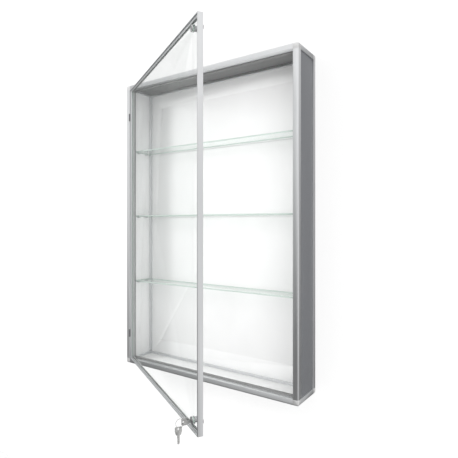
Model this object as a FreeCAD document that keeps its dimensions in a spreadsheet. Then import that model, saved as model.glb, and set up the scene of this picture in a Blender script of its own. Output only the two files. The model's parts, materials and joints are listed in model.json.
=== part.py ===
import FreeCAD, Part
import os
import re

import Sketcher

# A shallow wall showcase: an aluminium case with three glass shelves, and a glazed door on two butt
# hinges with a cam lock near each free corner. A key stands in the lower lock, and its twin hangs on
# the ring beside it. The origin is the centre of the rear plane, -Y is the front, +Z is up.
# Bodies of the case are drawn with x and z from the centre of the case and y from its front plane.
# Bodies of the door are drawn shut, with x and y from the hinge axis and z from the case's centre.

DIMENSIONS = {
    # case
    "case_width": 800, "case_height": 1200, "case_depth": 150,
    "member_width": 20, "face_depth": 20.5, "front_depth": 30, "back_depth": 20,
    "leg_thickness": 12, "rebate_depth": 18.5, "stop_reach": 6,
    "front_wall": 4, "chamber_wall": 2, "edge_radius": 6,
    "panel_inset": 4, "panel_thickness": 8, "back_panel_thickness": 4, "back_flange": 10,
    "spigot_length": 25, "spigot_gap": 0.1,
    # fixing to the wall
    "fixing_spacing_x": 640, "fixing_spacing_z": 1040, "fixing_hole_radius": 3.25,
    "spacer_radius": 9, "clip_length": 30, "clip_thickness": 2,
    # shelves, with heights above the bottom of the case
    "shelf_lower": 348, "shelf_middle": 633, "shelf_upper": 915,
    "shelf_thickness": 5, "shelf_front": 36, "shelf_back": 128, "shelf_end_gap": 1,
    "peg_radius": 2.5, "peg_gap": 0.05, "peg_sunk": 6, "peg_reach": 12,
    "peg_width": 10, "peg_front": 56, "peg_rear": 104,
    # door
    "hinge_offset": 21.3, "hinge_forward": 3.5, "door_open": 30.5,
    "door_width": 756.4, "door_height": 1158, "door_edge": 1.3, "door_depth": 17,
    "door_wall": 3, "rib_reach": 9, "front_rib": 4, "rear_rib": 12, "rib_thickness": 2,
    "door_radius": 1.2, "pane_front": 7, "pane_thickness": 4, "pane_edge": 4,
    "cleat_length": 30, "cleat_thickness": 2,
    # hinges
    "hinge_lower": 130, "hinge_upper": 1060, "hinge_height": 30, "leaf_thickness": 1,
    "leaf_depth": 15, "leaf_gap": 0.3, "knuckle_radius": 2.7, "knuckle_length": 9.85,
    "pin_radius": 1.2, "pin_gap": 0.05, "pin_head_radius": 2.2, "pin_head_height": 0.9,
    "rivet_radius": 1.5, "rivet_gap": 0.05, "rivet_depth": 9, "rivet_spacing": 18,
    # locks
    "lock_reach": 700, "lock_edge": 22, "rosette_radius": 10.5, "rosette_thickness": 2,
    "barrel_radius": 8, "barrel_length": 24, "barrel_gap": 0.5, "plug_radius": 5.45,
    "plug_gap": 0.05, "plug_proud": 0.6, "washer_thickness": 0.6, "nut_width": 19, "nut_thickness": 3,
    "shank_width": 6, "cam_thickness": 2, "cam_width": 10, "cam_reach": 22, "cam_gap": 0.3,
    "screw_head_radius": 4, "screw_head_height": 2.2,
    # keys
    "key_thickness": 2, "bow_width": 21, "bow_length": 25, "blade_width": 7, "blade_length": 24,
    "bow_hole_radius": 3.2, "bow_hole_edge": 5.5, "key_inserted": 20, "keyway_gap": 0.3,
    "ring_radius": 12, "ring_wire": 0.9, "ring_lean": 50, "hook_gap": 0.6,
}

CASE_PLACE = "placement(vector(0; -case_depth; 0); rotation(vector(0; 0; 1); 0))"
DOOR_PLACE = (
    "placement(vector(hinge_offset - case_width / 2; -hinge_forward - case_depth; 0);"
    " rotation(vector(0; 0; 1); -door_open))"
)

# One turn of a rectangular frame: the angle about Y that carries the left member onto this one,
# then the corner where its run starts and the direction of the run, both as signs of x and z.
SIDES = {
    "left": (0, -1, -1, 0, 1),
    "top": (90, -1, 1, 1, 0),
    "right": (180, 1, 1, 0, -1),
    "bottom": (270, 1, -1, -1, 0),
}
CORNERS = {"left": "bottom_left", "top": "top_left", "right": "top_right", "bottom": "bottom_right"}
TURNED_TO = {"x": "vector(0; 1; 0); 90", "y": "vector(1; 0; 0); -90", "z": "vector(0; 0; 1); 0"}
HINGES = {"lower": "hinge_lower - case_height / 2", "upper": "hinge_upper - case_height / 2"}
LOCKS = {"lower": "-door_height / 2 + lock_edge", "upper": "door_height / 2 - lock_edge"}

doc = FreeCAD.newDocument("wall_showcase")
sheet = doc.addObject("Spreadsheet::Sheet", "Dims")
for row, (alias, number) in enumerate(DIMENSIONS.items(), 1):
    sheet.set(f"A{row}", alias)
    sheet.set(f"B{row}", str(number))
    sheet.setAlias(f"B{row}", alias)
doc.recompute()


# ---- helpers -----------------------------------------------------------------------------------

def linked(text):
    """An expression in which every dimension's name points at its cell."""
    names = sorted(DIMENSIONS, key=len, reverse=True)
    return re.sub(r"\b(" + "|".join(names) + r")\b", r"Dims.\1", str(text))


def measure(text):
    return float(sheet.evalExpression(linked(text)))


def new_body(label, place):
    body = doc.addObject("PartDesign::Body", label)
    body.Label = label
    body.setExpression("Placement", linked(place))
    return body


def around(side, width, height, along="0", depth="0", centre="0"):
    """Where a member of a rectangular frame starts, turned so that its +X points inwards."""
    turn, corner_x, corner_z, run_x, run_z = SIDES[side]
    x = f"{centre} + ({corner_x}) * {width} / 2 + ({run_x}) * ({along})"
    z = f"({corner_z}) * {height} / 2 + ({run_z}) * ({along})"
    return f"placement(vector({x}; {depth}; {z}); rotation(vector(0; 1; 0); {turn}))"


def box(body, low, size, cut=False):
    kind = "SubtractiveBox" if cut else "AdditiveBox"
    feature = body.newObject(f"PartDesign::{kind}", f"{body.Name}Box")
    for name, text in zip(("Length", "Width", "Height"), size):
        feature.setExpression(name, linked(text))
    for axis, text in zip("xyz", low):
        feature.setExpression(f"Placement.Base.{axis}", linked(text))
    return feature


def rod(body, base, axis, radius, length, cut=False):
    """A cylinder that starts at base and runs along +X, +Y or +Z."""
    kind = "SubtractiveCylinder" if cut else "AdditiveCylinder"
    feature = body.newObject(f"PartDesign::{kind}", f"{body.Name}Rod")
    feature.setExpression("Radius", linked(radius))
    feature.setExpression("Height", linked(length))
    place = f"placement(vector({base[0]}; {base[1]}; {base[2]}); rotation({TURNED_TO[axis]}))"
    feature.setExpression("Placement", linked(place))
    return feature


def sketch_on(body, role, loops, circles=()):
    """A sketch on one of the body's own planes, with every corner dimensioned from its origin."""
    plane = next(item for item in body.Origin.OriginFeatures if item.Role == role)
    sketch = body.newObject("Sketcher::SketchObject", f"{body.Name}Sketch")
    sketch.AttachmentSupport = [(plane, "")]
    sketch.MapMode = "FlatFace"
    for loop in loops:
        spots = [FreeCAD.Vector(measure(x), measure(y), 0) for x, y in loop]
        start = sketch.GeometryCount
        for index, spot in enumerate(spots):
            following = spots[(index + 1) % len(spots)]
            sketch.addGeometry(Part.LineSegment(spot, following), False)
        for index in range(len(spots)):
            joined = start + (index + 1) % len(spots)
            sketch.addConstraint(Sketcher.Constraint("Coincident", start + index, 2, joined, 1))
        for index, corner in enumerate(loop):
            locate(sketch, start + index, 1, corner)
    for centre, radius in circles:
        middle = FreeCAD.Vector(measure(centre[0]), measure(centre[1]), 0)
        circle = Part.Circle(middle, FreeCAD.Vector(0, 0, 1), measure(radius))
        number = sketch.addGeometry(circle, False)
        locate(sketch, number, 3, centre)
        size = sketch.addConstraint(Sketcher.Constraint("Radius", number, measure(radius)))
        sketch.setExpression(f"Constraints[{size}]", linked(radius))
    return sketch


def locate(sketch, geometry, point, corner):
    """Dimension one point of a sketch from the origin, or set it on an axis where it is zero."""
    for kind, axis, text in (("DistanceX", -2, corner[0]), ("DistanceY", -1, corner[1])):
        if text == "0":
            sketch.addConstraint(Sketcher.Constraint("PointOnObject", geometry, point, axis))
            continue
        size = sketch.addConstraint(Sketcher.Constraint(kind, -1, 1, geometry, point, measure(text)))
        sketch.setExpression(f"Constraints[{size}]", linked(text))


def pad(body, sketch, length):
    feature = body.newObject("PartDesign::Pad", f"{body.Name}Pad")
    feature.Profile = sketch
    feature.setExpression("Length", linked(length))
    return feature


def pocket_through(body, sketch):
    """Cut a sketch right through the body, both ways from its plane."""
    feature = body.newObject("PartDesign::Pocket", f"{body.Name}Pocket")
    feature.Profile = sketch
    feature.Type = "ThroughAll"
    feature.Midplane = True
    return feature


def dress(body, kind, size, wanted):
    """A Fillet or Chamfer on the straight edges that keep one of the wanted sets of coordinates."""
    doc.recompute()
    base = body.Tip
    names = []
    for number, edge in enumerate(base.Shape.Edges, 1):
        ends = [vertex.Point for vertex in edge.Vertexes]
        for fixed in wanted:
            if len(ends) == 2 and all(
                abs(getattr(end, axis) - measure(text)) < 1e-6
                for end in ends
                for axis, text in fixed.items()
            ):
                names.append(f"Edge{number}")
                break
    feature = body.newObject(f"PartDesign::{kind}", f"{body.Name}{kind}")
    feature.Base = (base, names)
    feature.setExpression("Radius" if kind == "Fillet" else "Size", linked(size))
    return feature


def rectangle(x_low, x_high, y_low, y_high):
    return [(x_low, y_low), (x_high, y_low), (x_high, y_high), (x_low, y_high)]


# ---- case frame --------------------------------------------------------------------------------

STOP_EDGE = "(member_width + stop_reach)"
FRONT_OUTLINE = [
    ("0", "0"), ("member_width", "0"), ("member_width", "rebate_depth"),
    (STOP_EDGE, "rebate_depth"), (STOP_EDGE, "front_depth"), ("leg_thickness", "front_depth"),
    ("leg_thickness", "face_depth"), ("0", "face_depth"),
]
BACK_OUTLINE = [
    ("0", "0"), ("member_width", "0"), ("member_width", "back_flange"),
    ("leg_thickness", "back_flange"), ("leg_thickness", "back_depth"), ("0", "back_depth"),
]
ACROSS = ("chamber_wall", "member_width - chamber_wall")
FRONT_CHAMBER = rectangle(*ACROSS, "front_wall", "face_depth - front_wall")
STOP_CHAMBER = rectangle(
    "leg_thickness + chamber_wall", f"{STOP_EDGE} - chamber_wall",
    "face_depth", "front_depth - chamber_wall")
BACK_CHAMBER = rectangle(*ACROSS, "chamber_wall", "back_flange - chamber_wall")
PANEL_DEPTH = "case_depth - face_depth - back_depth"


def run_length(side):
    whole = "case_height" if side in ("left", "right") else "case_width"
    return f"({whole} - 2 * member_width)"


def front_profile(side):
    """A hollow extrusion whose square face frames the door, with a ledge behind that stops it.

    The ledges of the uprights are cut short, and end on the ledges at the top and the bottom.
    """
    place = around(side, "case_width", "case_height", along="member_width")
    body = new_body(f"front_profile_{side}", f"{CASE_PLACE} * {place}")
    outline = sketch_on(body, "XY_Plane", [FRONT_OUTLINE, FRONT_CHAMBER, STOP_CHAMBER])
    pad(body, outline, run_length(side))
    dress(body, "Fillet", "edge_radius", [{"x": "0", "y": "0"}])
    if side in ("left", "right"):
        for start in ("0", f"{run_length(side)} - stop_reach"):
            box(body, ("member_width", "rebate_depth", start),
                ("stop_reach", "front_depth - rebate_depth", "stop_reach"), cut=True)
    return body


def drill_for_hinges(body):
    """Rivet holes through the inner wall of the left front profile."""
    for height in HINGES.values():
        for sign in ("-", "+"):
            level = f"{height} + case_height / 2 - member_width {sign} rivet_spacing / 2"
            base = ("member_width - 3", "rivet_depth", level)
            rod(body, base, "x", "rivet_radius + rivet_gap", "4", cut=True)


def back_profile(side):
    """A hollow extrusion with a flange in front of the back panel."""
    depth = "case_depth - back_depth"
    place = around(side, "case_width", "case_height", along="member_width", depth=depth)
    body = new_body(f"back_profile_{side}", f"{CASE_PLACE} * {place}")
    outline = sketch_on(body, "XY_Plane", [BACK_OUTLINE, BACK_CHAMBER])
    pad(body, outline, run_length(side))
    dress(body, "Fillet", "edge_radius", [{"x": "0", "y": "back_depth"}])


def depth_profile(side):
    """A hollow square tube that joins a front corner to the back corner behind it."""
    place = around(side, "case_width", "case_height", depth="face_depth")
    body = new_body(f"depth_profile_{CORNERS[side]}", f"{CASE_PLACE} * {place}")
    inside = "member_width - 2 * chamber_wall"
    box(body, ("0", "0", "0"), ("member_width", PANEL_DEPTH, "member_width"))
    box(body, ("chamber_wall", "0", "chamber_wall"), (inside, PANEL_DEPTH, inside), cut=True)
    dress(body, "Fillet", "edge_radius", [{"x": "0", "z": "0"}])


def spigots(body, chamber_low, chamber_high, square_start):
    """Three stubs that slide into the chambers of the members meeting at a corner."""
    low = "chamber_wall + spigot_gap"
    wide = "member_width - 2 * (chamber_wall + spigot_gap)"
    depth = f"{chamber_low} + spigot_gap"
    deep = f"{chamber_high} - ({chamber_low}) - 2 * spigot_gap"
    box(body, (low, depth, "member_width"), (wide, deep, "spigot_length"))
    box(body, ("member_width", depth, low), ("spigot_length", deep, wide))
    box(body, (low, square_start, low), (wide, "spigot_length", wide))


def front_corner(side):
    body = new_body(
        f"front_corner_{CORNERS[side]}", f"{CASE_PLACE} * {around(side, 'case_width', 'case_height')}")
    box(body, ("0", "0", "0"), ("member_width", "face_depth", "member_width"))
    dress(body, "Fillet", "edge_radius", [{"x": "0", "z": "0"}, {"x": "0", "y": "0"}, {"y": "0", "z": "0"}])
    spigots(body, "front_wall", "face_depth - front_wall", "face_depth")


def back_corner(side):
    place = around(side, "case_width", "case_height", depth="case_depth - back_depth")
    body = new_body(f"back_corner_{CORNERS[side]}", f"{CASE_PLACE} * {place}")
    inner = "member_width - leg_thickness"
    deep = "back_depth - back_flange"
    box(body, ("0", "0", "0"), ("member_width", "back_depth", "member_width"))
    box(body, ("leg_thickness", "back_flange", "leg_thickness"), (inner, deep, inner), cut=True)
    rear = "back_depth"
    dress(body, "Fillet", "edge_radius", [{"x": "0", "z": "0"}, {"x": "0", "y": rear}, {"y": rear, "z": "0"}])
    spigots(body, "chamber_wall", "back_flange - chamber_wall", "-spigot_length")


# ---- panels and wall fixings -------------------------------------------------------------------

def side_panel(side, sign):
    """An upright panel, bored on its inner face for the shelf pegs."""
    body = new_body(f"side_panel_{side}", CASE_PLACE)
    middle = f"({sign}) * (case_width / 2 - panel_inset - panel_thickness / 2)"
    low = (f"{middle} - panel_thickness / 2", "face_depth", "member_width - case_height / 2")
    box(body, low, ("panel_thickness", PANEL_DEPTH, "case_height - 2 * member_width"))
    inner = f"({sign}) * (case_width / 2 - panel_inset - panel_thickness)"
    bottom = inner if sign > 0 else f"{inner} - peg_sunk"
    for shelf in ("shelf_lower", "shelf_middle", "shelf_upper"):
        for depth in ("peg_front", "peg_rear"):
            base = (bottom, depth, f"{shelf} - peg_radius - case_height / 2")
            rod(body, base, "x", "peg_radius + peg_gap", "peg_sunk", cut=True)


def end_panel(side, sign):
    """The flat panel that closes the top or the bottom."""
    body = new_body(f"{side}_panel", CASE_PLACE)
    middle = f"({sign}) * (case_height / 2 - panel_inset - panel_thickness / 2)"
    low = ("member_width - case_width / 2", "face_depth", f"{middle} - panel_thickness / 2")
    box(body, low, ("case_width - 2 * member_width", PANEL_DEPTH, "panel_thickness"))


def fixing_spots():
    for x_sign in ("-", ""):
        for z_sign in ("-", ""):
            yield f"{x_sign}fixing_spacing_x / 2", f"{z_sign}fixing_spacing_z / 2"


def back_panel():
    """The panel lies behind the flanges of the back profiles, with a hole for each wall screw."""
    body = new_body("back_panel", CASE_PLACE)
    face = "case_depth - back_depth + back_flange"
    low = ("leg_thickness - case_width / 2", face, "leg_thickness - case_height / 2")
    size = ("case_width - 2 * leg_thickness", "back_panel_thickness", "case_height - 2 * leg_thickness")
    box(body, low, size)
    for x, z in fixing_spots():
        rod(body, (x, face, z), "y", "fixing_hole_radius", "back_panel_thickness", cut=True)


def wall_spacers():
    """A ring behind each screw hole keeps the panel from bending towards the wall."""
    body = new_body("wall_spacers", CASE_PLACE)
    face = "case_depth - back_depth + back_flange + back_panel_thickness"
    length = "back_depth - back_flange - back_panel_thickness"
    for x, z in fixing_spots():
        rod(body, (x, face, z), "y", "spacer_radius", length)
    for x, z in fixing_spots():
        rod(body, (x, face, z), "y", "fixing_hole_radius", length, cut=True)


def back_panel_clips():
    """Flat clips on the legs of the back profiles hold the back panel against the flanges."""
    body = new_body("back_panel_clips", CASE_PLACE)
    face = "case_depth - back_depth + back_flange + back_panel_thickness"
    width = "member_width - leg_thickness"
    for sign in ("-", "+"):
        level = f"{sign}case_height / 4 - clip_length / 2"
        size = (width, "clip_thickness", "clip_length")
        box(body, ("leg_thickness - case_width / 2", face, level), size)
        box(body, ("case_width / 2 - member_width", face, level), size)
        place = f"{sign}case_width / 4 - clip_length / 2"
        size = ("clip_length", "clip_thickness", width)
        box(body, (place, face, "leg_thickness - case_height / 2"), size)
        box(body, (place, face, "case_height / 2 - member_width"), size)


# ---- shelves -----------------------------------------------------------------------------------

def glass_shelf(name):
    body = new_body(f"glass_{name}", CASE_PLACE)
    reach = "(case_width / 2 - panel_inset - panel_thickness - shelf_end_gap)"
    box(body, (f"-{reach}", "shelf_front", f"{name} - case_height / 2"),
        (f"2 * {reach}", "shelf_back - shelf_front", "shelf_thickness"))
    dress(body, "Chamfer", "0.5", [{"y": "shelf_front"}])


def shelf_pegs():
    """Four pegs under each shelf: a round shank in the side panel and a flat head under the glass."""
    body = new_body("shelf_pegs", CASE_PLACE)
    inner = "(case_width / 2 - panel_inset - panel_thickness)"
    for shelf in ("shelf_lower", "shelf_middle", "shelf_upper"):
        level = f"{shelf} - case_height / 2"
        for depth in ("peg_front", "peg_rear"):
            for shank, head in ((f"-{inner} - peg_sunk", f"-{inner}"), (inner, f"{inner} - peg_reach")):
                low = (head, f"{depth} - peg_width / 2", f"{level} - 2 * peg_radius")
                box(body, low, ("peg_reach", "peg_width", "2 * peg_radius"))
                rod(body, (shank, depth, f"{level} - peg_radius"), "x", "peg_radius", "peg_sunk")


# ---- door --------------------------------------------------------------------------------------

DOOR_CENTRE = "(door_edge + door_width / 2)"
DOOR_SECTION = [
    ("0", "0"), ("door_wall", "0"), ("door_wall", "front_rib"), ("rib_reach", "front_rib"),
    ("rib_reach", "front_rib + rib_thickness"), ("door_wall", "front_rib + rib_thickness"),
    ("door_wall", "rear_rib"), ("rib_reach", "rear_rib"), ("rib_reach", "rear_rib + rib_thickness"),
    ("door_wall", "rear_rib + rib_thickness"), ("door_wall", "door_depth"), ("0", "door_depth"),
]
DOOR_NAMES = {
    "left": "door_stile_hinge_side", "top": "door_rail_top",
    "right": "door_stile_free_side", "bottom": "door_rail_bottom",
}


def door_profile(side):
    """A slim extrusion with two ribs that hold the pane, mitred at both ends."""
    place = around(side, "door_width", "door_height", depth="hinge_forward", centre=DOOR_CENTRE)
    body = new_body(DOOR_NAMES[side], f"{DOOR_PLACE} * {place}")
    length = "door_height" if side in ("left", "right") else "door_width"
    pad(body, sketch_on(body, "XY_Plane", [DOOR_SECTION]), length)
    dress(body, "Fillet", "door_radius", [{"x": "0", "y": "0"}])
    near = [("0", "0"), ("rib_reach", "0"), ("rib_reach", "rib_reach")]
    far = [("0", length), ("rib_reach", length), ("rib_reach", f"{length} - rib_reach")]
    pocket_through(body, sketch_on(body, "XZ_Plane", [near, far]))
    return body


def drill_door_for_hinges(body):
    for height in HINGES.values():
        for sign in ("-", "+"):
            level = f"{height} + door_height / 2 {sign} rivet_spacing / 2"
            rod(body, ("0", "rivet_depth", level), "x", "rivet_radius + rivet_gap", "door_wall", cut=True)


def door_ring(body, front, thickness, outer, inner):
    """A flat rectangular frame that follows the edge of the door."""
    for inset, cut in ((outer, False), (inner, True)):
        low = (f"door_edge + {inset}", f"hinge_forward + {front}", f"{inset} - door_height / 2")
        box(body, low, (f"door_width - 2 * {inset}", thickness, f"door_height - 2 * {inset}"), cut=cut)


def door_pane():
    body = new_body("door_pane", DOOR_PLACE)
    low = ("door_edge + pane_edge", "hinge_forward + pane_front", "pane_edge - door_height / 2")
    size = ("door_width - 2 * pane_edge", "pane_thickness", "door_height - 2 * pane_edge")
    box(body, low, size)
    for height in LOCKS.values():
        base = ("lock_reach", "hinge_forward + pane_front", height)
        rod(body, base, "y", "barrel_radius + barrel_gap", "pane_thickness", cut=True)


def pane_gaskets():
    """One soft strip in front of the pane and one behind it, all round the channel."""
    body = new_body("pane_gasket_front", DOOR_PLACE)
    front = "(front_rib + rib_thickness)"
    door_ring(body, front, f"pane_front - {front}", "pane_edge", "rib_reach")
    body = new_body("pane_gasket_rear", DOOR_PLACE)
    rear = "(pane_front + pane_thickness)"
    door_ring(body, rear, f"rear_rib - {rear}", "pane_edge", "rib_reach")


def corner_cleats():
    """Flat angle cleats behind the rear rib tie the four mitres together."""
    body = new_body("door_corner_cleats", DOOR_PLACE)
    front = "hinge_forward + rear_rib + rib_thickness"
    width = "(rib_reach - door_wall)"
    for x_sign in (-1, 1):
        for z_sign in (-1, 1):
            x_outer = f"({DOOR_CENTRE} + ({x_sign}) * (door_width / 2 - door_wall))"
            z_outer = f"(({z_sign}) * (door_height / 2 - door_wall))"
            x_long = x_outer if x_sign < 0 else f"{x_outer} - cleat_length"
            z_long = z_outer if z_sign < 0 else f"{z_outer} - cleat_length"
            x_short = x_outer if x_sign < 0 else f"{x_outer} - {width}"
            z_short = z_outer if z_sign < 0 else f"{z_outer} - {width}"
            box(body, (x_long, front, z_short), ("cleat_length", "cleat_thickness", width))
            box(body, (x_short, front, z_long), (width, "cleat_thickness", "cleat_length"))


# ---- hinges ------------------------------------------------------------------------------------

def hinge_leaf(label, place, origin, middle, thickness_from, outer_knuckles):
    """A leaf with its own knuckles; the sheet starts clear of the other leaf's knuckles."""
    body = new_body(label, place)
    axis_x, axis_y = origin
    half = "hinge_height / 2"
    sheet_start = f"{axis_y} + hinge_forward - leaf_gap"
    box(body, (thickness_from, sheet_start, f"{middle} - {half}"),
        ("leaf_thickness", "leaf_depth + leaf_gap", "hinge_height"))
    if outer_knuckles:
        starts = (f"{middle} - {half}", f"{middle} + {half} - knuckle_length")
    else:
        starts = (f"{middle} - (hinge_height - 2 * (knuckle_length + leaf_gap)) / 2",)
    length = "knuckle_length" if outer_knuckles else "hinge_height - 2 * (knuckle_length + leaf_gap)"
    for start in starts:
        tongue = ("leaf_thickness", "hinge_forward", length)
        box(body, (thickness_from, axis_y, start), tongue)
        rod(body, (axis_x, axis_y, start), "z", "knuckle_radius", length)
    for start in starts:
        rod(body, (axis_x, axis_y, start), "z", "pin_radius + pin_gap", length, cut=True)
    for sign in ("-", "+"):
        base = (thickness_from, f"{axis_y} + hinge_forward + rivet_depth",
                f"{middle} {sign} rivet_spacing / 2")
        rod(body, base, "x", "rivet_radius + rivet_gap", "leaf_thickness", cut=True)


def hinges():
    case_axis = ("hinge_offset - case_width / 2", "-hinge_forward")
    for name, middle in HINGES.items():
        start = "member_width - case_width / 2"
        hinge_leaf(f"hinge_frame_leaf_{name}", CASE_PLACE, case_axis, middle, start, True)
        start = "door_edge - leaf_thickness"
        hinge_leaf(f"hinge_door_leaf_{name}", DOOR_PLACE, ("0", "0"), middle, start, False)


def hinge_pins():
    body = new_body("hinge_pins", CASE_PLACE)
    x, y = "hinge_offset - case_width / 2", "-hinge_forward"
    for middle in HINGES.values():
        low = f"{middle} - hinge_height / 2"
        high = f"{middle} + hinge_height / 2"
        rod(body, (x, y, low), "z", "pin_radius", "hinge_height")
        rod(body, (x, y, f"{low} - pin_head_height"), "z", "pin_head_radius", "pin_head_height")
        rod(body, (x, y, high), "z", "pin_head_radius", "pin_head_height")


def hinge_rivets():
    """Flush rivets hold one leaf to the case and the other to the edge of the door."""
    case_rivets = new_body("hinge_frame_rivets", CASE_PLACE)
    door_rivets = new_body("hinge_door_rivets", DOOR_PLACE)
    for middle in HINGES.values():
        for sign in ("-", "+"):
            level = f"{middle} {sign} rivet_spacing / 2"
            base = ("member_width - 3 - case_width / 2", "rivet_depth", level)
            rod(case_rivets, base, "x", "rivet_radius", "3 + leaf_thickness")
            base = ("door_edge - leaf_thickness", "hinge_forward + rivet_depth", level)
            rod(door_rivets, base, "x", "rivet_radius", "door_wall + leaf_thickness")


# ---- locks -------------------------------------------------------------------------------------

PANE_FACE = "(hinge_forward + pane_front)"
BARREL_END = f"({PANE_FACE} + barrel_length)"
CAM_START = f"({BARREL_END} + cam_gap + plug_proud)"


def lock_housing(name, height):
    """A threaded barrel through the pane, with a flat rosette in front of the glass."""
    body = new_body(f"lock_housing_{name}", DOOR_PLACE)
    front = f"{PANE_FACE} - rosette_thickness"
    rod(body, ("lock_reach", front, height), "y", "rosette_radius", "rosette_thickness")
    rod(body, ("lock_reach", PANE_FACE, height), "y", "barrel_radius", "barrel_length")
    bore = "plug_radius + plug_gap"
    rod(body, ("lock_reach", front, height), "y", bore, "barrel_length + rosette_thickness", cut=True)


def lock_nuts():
    """A soft washer and a hexagonal nut clamp each barrel to the pane."""
    washers = new_body("lock_washers", DOOR_PLACE)
    nuts = new_body("lock_nuts", DOOR_PLACE)
    rear = f"{PANE_FACE} + pane_thickness"
    for height in LOCKS.values():
        rod(washers, ("lock_reach", rear, height), "y", "nut_width / 2", "washer_thickness")
        prism = nuts.newObject("PartDesign::AdditivePrism", "lock_nutsPrism")
        prism.Polygon = 6
        prism.setExpression("Circumradius", linked("nut_width / sqrt(3)"))
        prism.setExpression("Height", linked("nut_thickness"))
        base = f"lock_reach; {rear} + washer_thickness; {height}"
        turned = "rotation(vector(1; 0; 0); -90)"
        prism.setExpression("Placement", linked(f"placement(vector({base}); {turned})"))
    for body, start, length in (
        (washers, rear, "washer_thickness"),
        (nuts, f"{rear} + washer_thickness", "nut_thickness"),
    ):
        for height in LOCKS.values():
            base = ("lock_reach", start, height)
            rod(body, base, "y", "barrel_radius + spigot_gap", length, cut=True)


def lock_plug(name, height):
    """The turning plug: a slotted cylinder with a square shank for the cam at its rear."""
    body = new_body(f"lock_plug_{name}", DOOR_PLACE)
    front = f"{PANE_FACE} - rosette_thickness - plug_proud"
    length = "rosette_thickness + 2 * plug_proud + barrel_length"
    rod(body, ("lock_reach", front, height), "y", "plug_radius", length)
    box(body, ("lock_reach - shank_width / 2", f"{front} + {length}", f"{height} - shank_width / 2"),
        ("shank_width", "cam_gap + cam_thickness", "shank_width"))
    slot_wide = "blade_width + 2 * keyway_gap"
    slot_thick = "key_thickness + 2 * keyway_gap"
    low = (f"lock_reach - ({slot_thick}) / 2", front, f"{height} - ({slot_wide}) / 2")
    box(body, low, (slot_thick, "key_inserted + keyway_gap", slot_wide), cut=True)


def lock_cam(name, height):
    """A flat bar that stands level when the door is free, and turns behind the ledge to lock it."""
    body = new_body(f"lock_cam_{name}", DOOR_PLACE)
    low = ("lock_reach - cam_width / 2", CAM_START, f"{height} - cam_width / 2")
    box(body, low, ("cam_reach + cam_width / 2", "cam_thickness", "cam_width"))
    dress(body, "Fillet", "cam_width / 2 - 0.5", [
        {"x": "lock_reach - cam_width / 2", "z": f"{height} - cam_width / 2"},
        {"x": "lock_reach - cam_width / 2", "z": f"{height} + cam_width / 2"}])
    hole = "shank_width + 2 * spigot_gap"
    box(body, (f"lock_reach - ({hole}) / 2", CAM_START, f"{height} - ({hole}) / 2"),
        (hole, "cam_thickness", hole), cut=True)
    screw = new_body(f"lock_cam_screw_{name}", DOOR_PLACE)
    head = ("lock_reach", f"{CAM_START} + cam_thickness", height)
    rod(screw, head, "y", "screw_head_radius", "screw_head_height")


# ---- keys --------------------------------------------------------------------------------------

KEY_LENGTH = "bow_length + blade_length"


def key_body(label, place):
    """A flat key drawn with its bow from y = 0, its blade towards +Y and its centre line on x = 0."""
    half = "(bow_width / 2)"
    blade = "blade_width / 2"
    body = new_body(label, f"{place} * placement(vector(-{half}; 0; -key_thickness / 2);"
                           " rotation(vector(0; 0; 1); 0))")
    bow = [("0", "0"), ("bow_width", "0"), ("bow_width", "bow_length * 0.5"),
           (f"{half} + bow_width * 0.36", "bow_length * 0.88"), (f"{half} + {blade}", "bow_length")]
    cuts = []
    for place_along, depth in ((0.30, 1.4), (0.48, 2.0), (0.66, 1.2), (0.82, 1.8)):
        middle = f"bow_length + blade_length * {place_along}"
        cuts.append((f"{half} + {blade}", f"{middle} - {depth}"))
        cuts.append((f"{half} + {blade} - {depth}", middle))
        cuts.append((f"{half} + {blade}", f"{middle} + {depth}"))
    tip = [(f"{half} + {blade}", f"{KEY_LENGTH} - 1.5"), (f"{half} + 1", KEY_LENGTH),
           (f"{half} - 1", KEY_LENGTH), (f"{half} - {blade}", f"{KEY_LENGTH} - 2.5"),
           (f"{half} - {blade}", "bow_length"), (f"{half} - bow_width * 0.36", "bow_length * 0.88"),
           ("0", "bow_length * 0.5")]
    hole = ((half, "bow_hole_edge"), "bow_hole_radius")
    pad(body, sketch_on(body, "XY_Plane", [bow + cuts + tip], [hole]), "key_thickness")
    shoulder = "bow_length * 0.88"
    dress(body, "Fillet", "3", [
        {"x": "0", "y": "0"}, {"x": "bow_width", "y": "0"},
        {"x": f"{half} + bow_width * 0.36", "y": shoulder},
        {"x": f"{half} - bow_width * 0.36", "y": shoulder}])


LEAN_SINE, LEAN_COSINE = "sin(ring_lean)", "cos(ring_lean)"
RING_SLOPE = f"sqrt(1 - {LEAN_SINE} * {LEAN_SINE} / 2)"
BOW_HOLE_Y = f"({PANE_FACE} - rosette_thickness - plug_proud + key_inserted - ({KEY_LENGTH}) + bow_hole_edge)"


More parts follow.
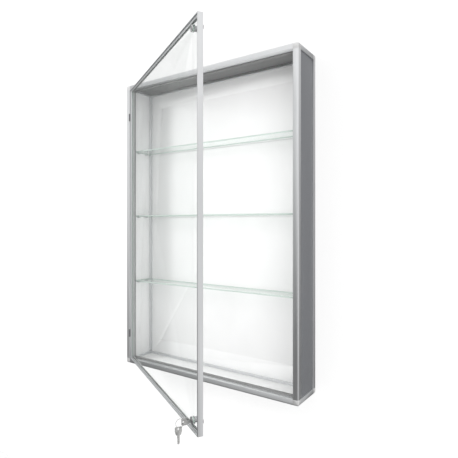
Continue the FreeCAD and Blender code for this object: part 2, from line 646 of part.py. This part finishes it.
def keys():
    """The inserted key stands on edge, and a leaning ring through its bow carries the spare key.

    The wire passes through the bow at 45 degrees, so it clears the bow at both ends of the lock's turn.
    The spare hangs from the lowest point of the ring.
    """
    turned = "rotation(vector(0; 1; 0); 90)"
    start = f"vector(lock_reach; {BOW_HOLE_Y} - bow_hole_edge; {LOCKS['lower']})"
    key_body("key_in_lock", f"{DOOR_PLACE} * placement({start}; {turned})")

    sideways = f"ring_radius * {LEAN_COSINE} / sqrt(2)"
    middle = (f"lock_reach - {sideways}", f"{BOW_HOLE_Y} - ring_radius * {LEAN_SINE}",
              f"{LOCKS['lower']} - {sideways}")
    ring = new_body(
        "key_ring", f"{DOOR_PLACE} * placement(vector({'; '.join(middle)});"
                    " rotation(vector(1; 0; -1); -ring_lean) * rotation(vector(1; 0; 0); -90))")
    torus = ring.newObject("PartDesign::AdditiveTorus", "key_ringTorus")
    torus.setExpression("Radius1", linked("ring_radius"))
    torus.setExpression("Radius2", linked("ring_wire"))

    hang = "bow_hole_radius - ring_wire - hook_gap - bow_hole_edge"
    top = (f"{middle[0]} + ring_radius * {LEAN_SINE} * {LEAN_SINE} / 2 / {RING_SLOPE}",
           f"{middle[1]} - ring_radius * {LEAN_SINE} * {LEAN_COSINE} / sqrt(2) / {RING_SLOPE}",
           f"{middle[2]} - ring_radius * {RING_SLOPE} - ({hang})")
    blade_down = "rotation(vector(0; 1; 0); 90) * rotation(vector(0; 0; 1); -90)"
    key_body("key_spare", f"{DOOR_PLACE} * placement(vector({'; '.join(top)}); {blade_down})")


# ---- assembly ----------------------------------------------------------------------------------

for side_name in SIDES:
    profile = front_profile(side_name)
    if side_name == "left":
        drill_for_hinges(profile)
    back_profile(side_name)
    depth_profile(side_name)
    front_corner(side_name)
    back_corner(side_name)
side_panel("left", -1)
side_panel("right", 1)
end_panel("bottom", -1)
end_panel("top", 1)
back_panel()
wall_spacers()
back_panel_clips()
for shelf_name in ("shelf_lower", "shelf_middle", "shelf_upper"):
    glass_shelf(shelf_name)
shelf_pegs()
for side_name in SIDES:
    profile = door_profile(side_name)
    if side_name == "left":
        drill_door_for_hinges(profile)
door_pane()
pane_gaskets()
corner_cleats()
hinges()
hinge_pins()
hinge_rivets()
for lock_name, lock_height in LOCKS.items():
    lock_housing(lock_name, lock_height)
    lock_plug(lock_name, lock_height)
    lock_cam(lock_name, lock_height)
lock_nuts()
keys()
doc.recompute()

faults = [item.Name for item in doc.Objects if "Invalid" in item.State or "Error" in item.State]
nodes = [item for item in doc.Objects if item.TypeId == "PartDesign::Body"]
faults += [node.Label for node in nodes if node.Shape.isNull() or not node.Shape.isValid()]
if faults:
    raise RuntimeError(f"failed objects: {faults}")

os.makedirs("parts", exist_ok=True)
for node in nodes:
    node.Shape.exportStep(f"parts/{node.Label}.step")
    print(f"{node.Label}: {len(node.Shape.Solids)} solid(s), {node.Shape.Volume:.1f} mm3")
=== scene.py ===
import json
import math

import bmesh
import bpy
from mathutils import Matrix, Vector


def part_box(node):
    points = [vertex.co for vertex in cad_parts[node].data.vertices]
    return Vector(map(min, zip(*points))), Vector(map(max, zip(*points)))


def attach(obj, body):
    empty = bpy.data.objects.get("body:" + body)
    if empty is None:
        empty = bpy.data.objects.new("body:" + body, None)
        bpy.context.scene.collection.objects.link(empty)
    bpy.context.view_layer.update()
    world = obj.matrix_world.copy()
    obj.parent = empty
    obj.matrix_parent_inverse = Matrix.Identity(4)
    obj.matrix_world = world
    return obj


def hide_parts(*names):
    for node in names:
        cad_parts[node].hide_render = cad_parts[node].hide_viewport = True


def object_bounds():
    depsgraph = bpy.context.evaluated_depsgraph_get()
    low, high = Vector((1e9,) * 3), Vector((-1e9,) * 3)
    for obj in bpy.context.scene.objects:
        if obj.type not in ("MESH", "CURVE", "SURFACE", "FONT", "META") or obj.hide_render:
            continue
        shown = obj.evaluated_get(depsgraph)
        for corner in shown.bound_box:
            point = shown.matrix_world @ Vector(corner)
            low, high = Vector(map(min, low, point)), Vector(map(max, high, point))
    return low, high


# A wall display case with its glazed door ajar. Every visible piece is a finer copy of its CAD node
# or is modelled here in the same place, and gets a procedural material.

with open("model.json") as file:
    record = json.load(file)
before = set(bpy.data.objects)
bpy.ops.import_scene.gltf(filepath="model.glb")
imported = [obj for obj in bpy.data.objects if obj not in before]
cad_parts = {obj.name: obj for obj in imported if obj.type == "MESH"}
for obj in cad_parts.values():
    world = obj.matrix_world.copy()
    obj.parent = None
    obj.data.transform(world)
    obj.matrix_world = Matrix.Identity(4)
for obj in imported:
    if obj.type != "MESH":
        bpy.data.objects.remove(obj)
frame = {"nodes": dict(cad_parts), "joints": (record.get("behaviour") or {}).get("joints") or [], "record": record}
cad_box = [list(corner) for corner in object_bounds()]

MILLIMETRE = 0.001
RECORD = frame["record"]
BODY_OF = {name: body for body, names in RECORD["behaviour"]["bodies"].items() for name in names}
SLOT_OF = {part["node"]: part["material_slot"] for part in RECORD["subparts"]}
JOINTS = {joint["name"]: joint for joint in frame["joints"]}

# The door is drawn ajar, and its hinge's lower limit is the closed door.
DOOR_ANGLE = -math.radians(JOINTS["door_hinge"]["range_deg"][0])
DOOR_ACROSS = Vector((math.cos(DOOR_ANGLE), -math.sin(DOOR_ANGLE), 0))
DOOR_INWARDS = Vector((math.sin(DOOR_ANGLE), math.cos(DOOR_ANGLE), 0))
UP = Vector((0, 0, 1))

# The front members' faces are 20 mm wide, and what lies a little inside them belongs to the ledge.
LEDGE_STARTS = 20.3 * MILLIMETRE
OPENING_HALF_WIDTH = cad_box[1][0] - LEDGE_STARTS
OPENING_HALF_HEIGHT = cad_box[1][2] - LEDGE_STARTS


# ---- shader helpers ----------------------------------------------------------------------------

def add_node(tree, kind, inputs=None, **settings):
    """A shader node whose inputs are given as values or as the sockets that feed them."""
    made = tree.nodes.new(f"ShaderNode{kind}")
    for name, value in settings.items():
        setattr(made, name, value)
    for socket, value in (inputs or {}).items():
        if isinstance(value, bpy.types.NodeSocket):
            tree.links.new(value, made.inputs[socket])
        else:
            made.inputs[socket].default_value = value
    return made


def new_material(name, uniform):
    """A material with one Principled shader, and the values that are the same all over it."""
    material = bpy.data.materials.new(name)
    material.use_nodes = True
    shader = material.node_tree.nodes["Principled BSDF"]
    for socket, value in uniform.items():
        shader.inputs[socket].default_value = value
    return material, material.node_tree, shader


def noise(tree, size, turned=0.0, detail=2.0):
    """Noise whose blobs have the given size in metres, along axes turned clockwise about Z."""
    place = add_node(tree, "TexCoord").outputs["Object"]
    scaled = add_node(tree, "Mapping", {
        "Vector": place, "Rotation": (0, 0, -turned), "Scale": size}, vector_type="TEXTURE")
    return add_node(tree, "TexNoise", {
        "Vector": scaled.outputs["Vector"], "Scale": 1.0, "Detail": detail}).outputs["Fac"]


def between(tree, factor, low, high, start=0.3, end=0.7):
    """A value that goes from low to high as the factor goes from start to end."""
    return add_node(tree, "MapRange", {
        "Value": factor, "From Min": start, "From Max": end, "To Min": low, "To Max": high,
    }).outputs["Result"]


def blend_colours(tree, factor, first, second, start=0.3, end=0.7):
    """A colour that goes from first to second as the factor goes from start to end."""
    ramp = add_node(tree, "ValToRGB", {"Fac": factor})
    for element, position, colour in zip(ramp.color_ramp.elements, (start, end), (first, second)):
        element.position = position
        element.color = (*colour, 1)
    return ramp.outputs["Color"]


def bump(tree, height, depth, strength):
    """A normal for relief of the given depth in metres."""
    return add_node(tree, "Bump", {
        "Height": height, "Distance": depth, "Strength": strength}).outputs["Normal"]


def feed(tree, shader, **sockets):
    """Link each source to the shader's socket of that name, written with _ for a space."""
    for name, source in sockets.items():
        tree.links.new(source, shader.inputs[name.replace("_", " ")])


def darker(colour, share):
    """A colour with only a share of its brightness."""
    return tuple(channel * share for channel in colour)


# ---- materials ---------------------------------------------------------------------------------

DIE_LINE = 0.0009
LONG_RUN = 0.25
SHORT_RUN = 0.12

# The size of the die lines' noise on an extrusion, and how far its run is turned clockwise about Z.
RUNS = {
    "x": ((LONG_RUN, DIE_LINE, DIE_LINE), 0.0),
    "y": ((DIE_LINE, SHORT_RUN, DIE_LINE), 0.0),
    "z": ((DIE_LINE, DIE_LINE, LONG_RUN), 0.0),
    "door": ((LONG_RUN, DIE_LINE, DIE_LINE), DOOR_ANGLE),
}


def anodised(name, run):
    """Satin silver extrusion with fine die lines along its run."""
    size, turned = RUNS[run]
    silver = (0.80, 0.81, 0.82)
    material, tree, shader = new_material(name, {"Metallic": 1.0, "Specular IOR Level": 0.5})
    lines = noise(tree, size, turned, detail=4)
    cloud = noise(tree, (0.12, 0.12, 0.12), detail=3)
    feed(tree, shader, Base_Color=blend_colours(tree, lines, darker(silver, 0.94), silver),
         Roughness=between(tree, cloud, 0.33, 0.42),
         Normal=bump(tree, lines, 0.00004, 0.35))
    return material


def cast_alloy():
    """Slightly grainy corner castings, a little lighter than the extrusions."""
    pale = (0.86, 0.86, 0.86)
    material, tree, shader = new_material("corner_alloy_fine", {"Metallic": 0.9})
    grain = noise(tree, (0.0011, 0.0011, 0.0011), detail=4)
    cloud = noise(tree, (0.03, 0.03, 0.03), detail=3)
    feed(tree, shader, Base_Color=blend_colours(tree, cloud, darker(pale, 0.95), pale),
         Roughness=between(tree, grain, 0.40, 0.52),
         Normal=bump(tree, grain, 0.00008, 0.4))
    return material


def laminate(name, colour, rough_low, rough_high):
    """Pressed laminate with a soft pebble and faint clouds of tone."""
    material, tree, shader = new_material(name, {"Specular IOR Level": 0.5})
    pebble = noise(tree, (0.0016, 0.0016, 0.0016), detail=3)
    cloud = noise(tree, (0.18, 0.18, 0.30), detail=4)
    feed(tree, shader, Base_Color=blend_colours(tree, cloud, darker(colour, 0.95), colour),
         Roughness=between(tree, pebble, rough_low, rough_high),
         Normal=bump(tree, pebble, 0.00005, 0.3))
    return material


def clear_glass(name, tint):
    """Flat float glass: it reflects more as it is seen more edge-on, and is clear otherwise."""
    face_on, edge_on, steepness = 0.02, 0.26, 5.0
    material = bpy.data.materials.new(name)
    material.use_nodes = True
    tree = material.node_tree
    tree.nodes.remove(tree.nodes["Principled BSDF"])
    facing = add_node(tree, "LayerWeight", {"Blend": 0.5}).outputs["Facing"]
    steep = add_node(tree, "Math", {0: facing, 1: steepness}, operation="POWER").outputs["Value"]
    share = between(tree, steep, face_on, edge_on, 0.0, 1.0)
    smears = noise(tree, (0.05, 0.05, 0.09), detail=4)
    shine = add_node(tree, "BsdfGlossy", {
        "Color": (0.96, 0.98, 0.97, 1), "Roughness": between(tree, smears, 0.02, 0.07)})
    through = add_node(tree, "BsdfTransparent", {"Color": (*tint, 1)})
    mixed = add_node(tree, "MixShader", {
        0: share, 1: through.outputs["BSDF"], 2: shine.outputs["BSDF"]})
    tree.links.new(mixed.outputs["Shader"], tree.nodes["Material Output"].inputs["Surface"])
    return material


def glass_edge(name, colour):
    """The ground and polished edge of a pane, where the green of the glass gathers."""
    material, tree, shader = new_material(name, {"Specular IOR Level": 0.6, "Coat Weight": 0.4})
    depth = noise(tree, (0.04, 0.04, 0.0012), detail=3)
    feed(tree, shader, Base_Color=blend_colours(tree, depth, darker(colour, 0.86), colour),
         Roughness=between(tree, depth, 0.10, 0.20))
    return material


def plated(name, colour, rough_low, rough_high):
    """Plated or plain metal with hairline scratches and a slightly cloudy finish."""
    width, length = 0.0006, 0.0084
    material, tree, shader = new_material(name, {"Metallic": 1.0})
    scratches = noise(tree, (length, width, width), DOOR_ANGLE, detail=4)
    cloud = noise(tree, (0.006, 0.006, 0.006), detail=3)
    feed(tree, shader, Base_Color=blend_colours(tree, cloud, darker(colour, 0.86), colour),
         Roughness=between(tree, scratches, rough_low, rough_high),
         Normal=bump(tree, scratches, 0.00002, 0.3))
    return material


def soft(name, colour, grain, rough_low, rough_high):
    """Rubber or moulded nylon: matt, with a fine moulded grain."""
    material, tree, shader = new_material(name, {"Specular IOR Level": 0.4})
    pebble = noise(tree, (grain, grain, grain), detail=4)
    feed(tree, shader, Base_Color=blend_colours(tree, pebble, darker(colour, 0.82), colour),
         Roughness=between(tree, pebble, rough_low, rough_high),
         Normal=bump(tree, pebble, 0.00004, 0.4))
    return material


MATERIALS = {
    **{f"frame_{run}": anodised(f"frame_{run}", run) for run in RUNS},
    "corner_alloy": cast_alloy(),
    "grey_laminate": laminate("grey_laminate", (0.150, 0.154, 0.165), 0.30, 0.42),
    "white_laminate": laminate("white_laminate", (0.88, 0.88, 0.88), 0.42, 0.52),
    # Dark grey laminate for the inside of the top panel: painted shade, which darkens the ceiling as the shade
    # under the top does
    "top_inside_painted_shade": laminate("top_inside_painted_shade", (0.20, 0.20, 0.20), 0.42, 0.52),
    "shelf_faces": clear_glass("shelf_faces", (0.975, 0.99, 0.982)),
    "shelf_edges": glass_edge("shelf_edges", (0.56, 0.64, 0.60)),
    "pane_faces": clear_glass("pane_faces", (0.993, 0.997, 0.995)),
    "pane_edges": glass_edge("pane_edges", (0.55, 0.70, 0.62)),
    "peg_chrome": plated("peg_chrome", (0.80, 0.80, 0.81), 0.10, 0.20),
    "spacer_nylon": soft("spacer_nylon_fine", (0.78, 0.78, 0.76), 0.0012, 0.45, 0.60),
    "clip_steel": plated("clip_steel_fine", (0.66, 0.67, 0.68), 0.28, 0.40),
    "hinge_steel": plated("hinge_steel_fine", (0.33, 0.33, 0.34), 0.30, 0.44),
    "rivet_steel": plated("rivet_steel_fine", (0.58, 0.58, 0.59), 0.26, 0.38),
    # Dark grey for the ledge inside the front members, which draws a dark line along their inner edge
    "ledge_dark_grey": soft("ledge_dark_grey", (0.26, 0.26, 0.26), 0.0010, 0.55, 0.70),
    "gasket_rubber": soft("gasket_rubber_fine", (0.42, 0.42, 0.42), 0.0010, 0.55, 0.70),
    "lock_chrome": plated("lock_chrome_fine", (0.72, 0.72, 0.73), 0.08, 0.20),
    "lock_zinc": plated("lock_zinc_fine", (0.56, 0.56, 0.57), 0.24, 0.38),
    "cam_steel": plated("cam_steel_fine", (0.36, 0.36, 0.37), 0.28, 0.42),
    "key_nickel": plated("key_nickel_fine", (0.64, 0.64, 0.63), 0.20, 0.32),
    "ring_steel": plated("ring_steel_fine", (0.50, 0.50, 0.50), 0.12, 0.24),
}


def run_of(name):
    """The direction in which an extrusion runs."""
    if name.startswith("door_rail"):
        return "door"
    if name.startswith("depth_profile"):
        return "y"
    return "x" if name.endswith(("top", "bottom")) else "z"


# ---- finer copies of the CAD nodes -------------------------------------------------------------

SHARP_EDGE = math.radians(35)
FLAT_EDGE = math.radians(0.4)
SAME_SPOT = 0.001 * MILLIMETRE


def finish_mesh(piece, width):
    """Ease every sharp edge, shade the rest smooth, and leave a plain mesh with no modifiers."""
    bevel = piece.modifiers.new("eased edges", "BEVEL")
    bevel.width = width
    bevel.segments = 2
    bevel.limit_method = "ANGLE"
    bevel.angle_limit = SHARP_EDGE
    bevel.harden_normals = True
    bevel.use_clamp_overlap = True
    piece.data.shade_smooth()
    evaluated = piece.evaluated_get(bpy.context.evaluated_depsgraph_get())
    finished = bpy.data.meshes.new_from_object(evaluated)
    finished.name = piece.name
    piece.modifiers.clear()
    piece.data = finished


def finer_copy(name, width):
    """A copy of a CAD node's mesh with its flat faces whole and its sharp edges eased."""
    shape = bmesh.new()
    shape.from_mesh(frame["nodes"][name].data)
    bmesh.ops.remove_doubles(shape, verts=shape.verts, dist=SAME_SPOT)
    bmesh.ops.dissolve_limit(
        shape, angle_limit=FLAT_EDGE, verts=shape.verts, edges=shape.edges)
    mesh = bpy.data.meshes.new(f"{name}_fine")
    shape.to_mesh(mesh)
    shape.free()
    piece = bpy.data.objects.new(f"{name}_fine", mesh)
    bpy.context.scene.collection.objects.link(piece)
    mesh.materials.clear()
    finish_mesh(piece, width)
    return piece


def paint(piece, materials, chooser=None):
    """Give a piece its materials; chooser picks one for a face from its centre and normal."""
    piece.data.materials.clear()
    for material in materials:
        piece.data.materials.append(MATERIALS[material])
    for face in piece.data.polygons:
        face.material_index = chooser(face.center, face.normal) if chooser else 0


def settle(piece, name):
    """The piece stands for a CAD node: it rides on the node's body, and the node itself is hidden."""
    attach(piece, BODY_OF[name])
    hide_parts(name)


# How far the sharp edges of each material's parts are eased, in millimetres.
EASED = {
    "frame_aluminium": 0.25, "corner_alloy": 0.45, "side_laminate": 0.25, "back_laminate": 0.25,
    "shelf_glass": 0.25, "pane_glass": 0.20, "peg_chrome": 0.50, "spacer_nylon": 0.40,
    "clip_steel": 0.25, "hinge_steel": 0.18, "rivet_steel": 0.20, "gasket_rubber": 0.20,
    "lock_chrome": 0.35, "lock_zinc": 0.25, "cam_steel": 0.25, "key_nickel": 0.22,
}


def panel_outwards(name):
    """Which way is outwards on a side, top or bottom panel."""
    directions = {"left": (-1, 0, 0), "right": (1, 0, 0), "top": (0, 0, 1), "bottom": (0, 0, -1)}
    return Vector(next(way for word, way in directions.items() if word in name))


def on_ledge(centre, normal):
    """1 on the ledge that the door shuts against, which is coloured dark grey, and 0 elsewhere."""
    return int(abs(centre.x) < OPENING_HALF_WIDTH and abs(centre.z) < OPENING_HALF_HEIGHT)


def outer_face(outwards):
    """A chooser that gives 1 where a panel looks outwards, and 0 elsewhere."""
    return lambda centre, normal: int(normal.dot(outwards) > 0.5)


def cut_edge(flat):
    """A chooser that gives 0 on the two flat faces of a sheet of glass, and 1 on its edges."""
    return lambda centre, normal: int(abs(normal.dot(flat)) < 0.9)


def dress_node(name):
    """A finer copy of a CAD node, in the materials that its faces call for."""
    slot = SLOT_OF[name]
    piece = finer_copy(name, EASED[slot] * MILLIMETRE)
    if name.startswith("front_profile"):
        # The faces inside the opening are dark grey, which draws a dark line along the members' inner edge
        paint(piece, [f"frame_{run_of(name)}", "ledge_dark_grey"], on_ledge)
    elif slot == "frame_aluminium":
        paint(piece, [f"frame_{run_of(name)}"])
    elif slot == "side_laminate":
        # The top panel's inside is dark grey where the other panels are white inside: painted shade under the top
        inside = "top_inside_painted_shade" if name == "top_panel" else "white_laminate"
        paint(piece, [inside, "grey_laminate"], outer_face(panel_outwards(name)))
    elif slot == "back_laminate":
        paint(piece, ["white_laminate"])
    elif slot == "shelf_glass":
        paint(piece, ["shelf_faces", "shelf_edges"], cut_edge(UP))
    elif slot == "pane_glass":
        paint(piece, ["pane_faces", "pane_edges"], cut_edge(DOOR_INWARDS))
    else:
        paint(piece, [slot])
    settle(piece, name)


# ---- pieces modelled here ----------------------------------------------------------------------

def mesh_piece(name, spots, faces):
    """A new object with a mesh of these points and faces."""
    mesh = bpy.data.meshes.new(name)
    mesh.from_pydata(spots, [], faces)
    piece = bpy.data.objects.new(name, mesh)
    bpy.context.scene.collection.objects.link(piece)
    return piece


def turned_on_door(name, outline, lock):
    """A closed outline of depths and radii, in millimetres, spun about a lock's axis."""
    sides = 64
    middle = Vector(JOINTS[f"{lock}_lock_turn"]["pos_m"])
    spots = []
    for depth, radius in outline:
        for side in range(sides):
            angle = 2 * math.pi * side / sides
            outwards = math.cos(angle) * DOOR_ACROSS + math.sin(angle) * UP
            spots.append(middle + MILLIMETRE * (depth * DOOR_INWARDS + radius * outwards))
    faces = []
    for row in range(len(outline)):
        following = (row + 1) % len(outline)
        for side in range(sides):
            beyond = (side + 1) % sides
            faces.append((row * sides + side, row * sides + beyond,
                          following * sides + beyond, following * sides + side))
    return mesh_piece(name, spots, faces)


def housing_outline():
    """Depths and radii of a lock housing, in millimetres: rosette, barrel and rolled thread."""
    front, rosette_back, plain_end, thread_start, back = 8.5, 10.5, 18.4, 18.9, 34.5
    bore, tip, root, barrel, rosette, rim = 5.5, 7.2, 7.55, 8.0, 10.5, 1.2
    turns, pitch, root_flat, flank, crest_flat, chamfer = 15, 1.0, 0.15, 0.30, 0.15, 0.4
    outline = [(front, bore)]
    for degrees in (0, 25, 52, 75):
        angle = math.radians(degrees)
        outline.append((front + rim * (1 - math.cos(angle)), rosette - rim * (1 - math.sin(angle))))
    outline += [(rosette_back, rosette), (rosette_back, barrel), (plain_end, barrel)]
    for turn in range(turns):
        foot = thread_start + turn * pitch + root_flat
        crest = foot + flank
        outline += [(foot - root_flat, root), (foot, root), (crest, barrel), (crest + crest_flat, barrel)]
    return outline + [(back - chamfer, root), (back, tip), (back, bore)]


def threaded_housing(name):
    """A lock's rosette with a rounded rim, and its barrel with a rolled thread behind the nut."""
    lock = name.split("_")[-1]
    crease = math.radians(28)
    piece = turned_on_door(f"{name}_fine", housing_outline(), lock)
    shape = bmesh.new()
    shape.from_mesh(piece.data)
    bmesh.ops.recalc_face_normals(shape, faces=shape.faces)
    shape.to_mesh(piece.data)
    shape.free()
    piece.data.shade_smooth()
    piece.data.set_sharp_from_angle(angle=crease)
    paint(piece, ["lock_chrome"])
    settle(piece, name)


def split_ring():
    """A ring of two turns of wire that lie against each other, where the CAD has one thick ring."""
    wire, radius = 0.45 * MILLIMETRE, 12 * MILLIMETRE
    lean = math.radians(50)
    turns, steps, sides = 2, 72, 10
    low, high = (Vector(corner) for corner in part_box("key_ring"))
    middle = (low + high) / 2
    tangent = (DOOR_ACROSS - UP) / math.sqrt(2)
    down_out = -math.cos(lean) * (DOOR_ACROSS + UP) / math.sqrt(2) - math.sin(lean) * DOOR_INWARDS
    facing = tangent.cross(down_out)
    spots = []
    for step in range(turns * steps + 1):
        turn = 2 * math.pi * step / steps
        outwards = math.cos(turn) * down_out + math.sin(turn) * tangent
        drift = (step / (turns * steps) - 0.5) * 2 * wire
        spot = middle + radius * outwards + drift * facing
        for side in range(sides):
            angle = 2 * math.pi * side / sides
            spots.append(spot + wire * (math.cos(angle) * outwards + math.sin(angle) * facing))
    faces = []
    for row in range(turns * steps):
        for side in range(sides):
            beyond = (side + 1) % sides
            faces.append((row * sides + side, row * sides + beyond,
                          (row + 1) * sides + beyond, (row + 1) * sides + side))
    last = turns * steps * sides
    faces += [tuple(range(sides))[::-1], tuple(range(last, last + sides))]
    piece = mesh_piece("key_ring_fine", spots, faces)
    piece.data.shade_smooth()
    paint(piece, ["ring_steel"])
    settle(piece, "key_ring")


# ---- stage, light and camera -------------------------------------------------------------------

FLOOR_MIDDLE = (0, -1.5, -1.45)
WALL_MIDDLE = (0, 0.004, 1.55)
WALL_HALF_HEIGHT = 3.0
STAGE_REACH = 6


def plane(name, centre, half_width, half_depth=0, half_height=0):
    """A stage rectangle that lies flat or stands up, unseen in the gloss of the pieces."""
    spots = [
        Vector(centre) + Vector((across * half_width, along * half_depth, along * half_height))
        for across, along in ((-1, -1), (1, -1), (1, 1), (-1, 1))]
    made = mesh_piece(name, spots, [(0, 1, 2, 3)])
    made.visible_glossy = False
    return made


def stage():
    """A pale floor, and a white wall behind the case that can be looked through from behind."""
    floor = plane("floor", FLOOR_MIDDLE, STAGE_REACH, half_depth=STAGE_REACH)
    material, tree, shader = new_material("floor_pale", {"Roughness": 0.7})
    cloud = noise(tree, (1.2, 1.2, 1.2))
    feed(tree, shader, Base_Color=blend_colours(tree, cloud, (0.80, 0.80, 0.80), (0.84, 0.84, 0.84)))
    floor.data.materials.append(material)
    wall = plane("wall", WALL_MIDDLE, STAGE_REACH, half_height=WALL_HALF_HEIGHT)
    material, tree, shader = new_material("wall_white", {
        "Base Color": (0.30, 0.30, 0.30, 1), "Roughness": 0.9, "Specular IOR Level": 0.0,
        "Emission Color": (1, 1, 1, 1), "Emission Strength": 0.70})
    behind = add_node(tree, "NewGeometry").outputs["Backfacing"]
    clear = add_node(tree, "BsdfTransparent")
    mixed = add_node(tree, "MixShader", {
        0: behind, 1: shader.outputs["BSDF"], 2: clear.outputs["BSDF"]})
    tree.links.new(mixed.outputs["Shader"], tree.nodes["Material Output"].inputs["Surface"])
    wall.data.materials.append(material)


def surroundings():
    """A soft studio: bright above, in front and to the right, darker below and to the left."""
    white = (1, 1, 1, 1)
    dimmest, brightest, lift, backdrop = 0.18, 1.05, 0.44, 0.94
    towards_top_front, towards_right = (0.0, -0.28, 0.86), (0.86, 0.0, 0.0)
    world = bpy.data.worlds.new("studio")
    bpy.context.scene.world = world
    world.use_nodes = True
    tree = world.node_tree
    direction = add_node(tree, "TexCoord").outputs["Generated"]
    top_front, right = (
        add_node(tree, "VectorMath", {0: direction, 1: slope}, operation="DOT_PRODUCT").outputs["Value"]
        for slope in (towards_top_front, towards_right))
    lifted = add_node(tree, "Math", {0: top_front, 1: lift}, operation="ADD").outputs["Value"]
    brighter = add_node(tree, "Math", {0: lifted, 1: right}, operation="MAXIMUM").outputs["Value"]
    glow = between(tree, brighter, dimmest, brightest, dimmest, brightest)
    seen = add_node(tree, "LightPath").outputs["Is Camera Ray"]
    lit = add_node(tree, "Background", {"Color": white, "Strength": glow})
    shown = add_node(tree, "Background", {"Color": white, "Strength": backdrop})
    mixed = add_node(tree, "MixShader", {
        0: seen, 1: lit.outputs["Background"], 2: shown.outputs["Background"]})
    tree.links.new(mixed.outputs["Shader"], tree.nodes["World Output"].inputs["Surface"])


def area_light(name, spot, aim, size, power):
    """A round lamp that lights the pieces but isn't seen in their gloss."""
    light = bpy.data.lights.new(name, "AREA")
    light.shape = "DISK"
    light.size = size
    light.energy = power
    lamp = bpy.data.objects.new(name, light)
    lamp.location = spot
    lamp.rotation_euler = (Vector(aim) - Vector(spot)).to_track_quat("-Z", "Y").to_euler()
    lamp.visible_glossy = False
    bpy.context.scene.collection.objects.link(lamp)


def camera(spot, turned, focal_length, shift):
    """A level camera, turned to the left of straight ahead by some degrees."""
    lens = bpy.data.cameras.new("camera")
    lens.sensor_width = 36
    lens.lens = focal_length
    lens.shift_x, lens.shift_y = shift
    eye = bpy.data.objects.new("camera", lens)
    eye.location = spot
    eye.rotation_euler = (math.radians(90), 0, math.radians(turned))
    bpy.context.scene.collection.objects.link(eye)
    bpy.context.scene.camera = eye


# ---- assembly ----------------------------------------------------------------------------------

camera(spot=(0.9796, -1.4690, 0.0001), turned=35.35, focal_length=33.855, shift=(0.0419, -0.0107))
stage()
surroundings()
area_light("key", spot=(-1.9, -2.3, 1.15), aim=(0, 0, 0), size=0.8, power=38)
area_light("fill", spot=(1.9, -1.7, 0.2), aim=(-0.2, 0, 0), size=1.6, power=19)
bpy.context.scene.view_settings.view_transform = "Standard"

for node_name in sorted(frame["nodes"]):
    if node_name.startswith("lock_housing"):
        threaded_housing(node_name)
    elif node_name != "key_ring":
        dress_node(node_name)
split_ring()
